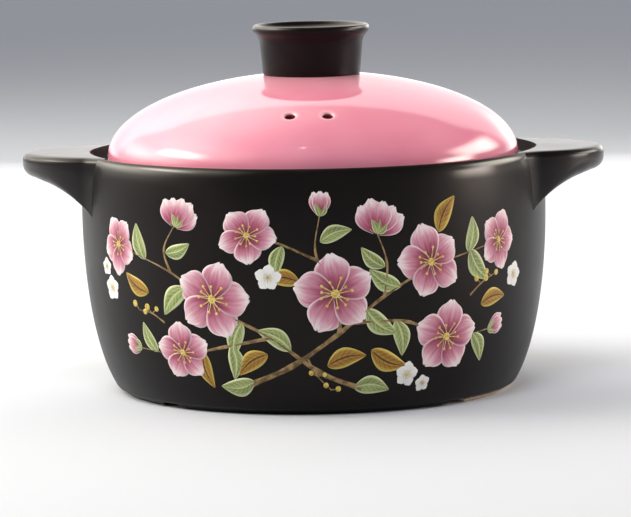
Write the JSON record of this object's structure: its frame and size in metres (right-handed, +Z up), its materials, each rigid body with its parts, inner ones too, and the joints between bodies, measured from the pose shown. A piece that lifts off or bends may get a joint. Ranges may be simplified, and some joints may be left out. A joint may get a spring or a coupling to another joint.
{
  "type": "lidded clay cooking pot",
  "caption": "Deep round clay cooking pot with ear handles, a notched foot and a domed lid that sits on a ledge inside the lip and lifts off by a flared knob.",
  "frame": {"origin": "on the table under the middle of the pot", "axes": "+X along the handles, -Y towards the front with the steam holes, +Z up"},
  "size_m": [0.2882, 0.23, 0.1805],
  "materials": {
    "pot_glaze": "satin near-black glaze",
    "handle_glaze": "satin near-black glaze",
    "foot_glaze": "satin near-black glaze down to a bare tan clay edge",
    "lid_glaze": "glossy pink glaze",
    "knob_glaze": "satin brown-black glaze"
  },
  "bodies": {
    "pot": {"pot_body": "pot_glaze", "foot_front": "foot_glaze", "foot_back": "foot_glaze", "foot_left": "foot_glaze", "foot_right": "foot_glaze", "handle_left": "handle_glaze", "handle_right": "handle_glaze"},
    "lid": {"lid_dome": "lid_glaze", "lid_knob": "knob_glaze"}
  },
  "joints": [
    {"name": "lid_lift", "type": "slide", "parent": "pot", "child": "lid", "axis": [0, 0, 1], "range_m": [0, 0.15]}
  ]
}
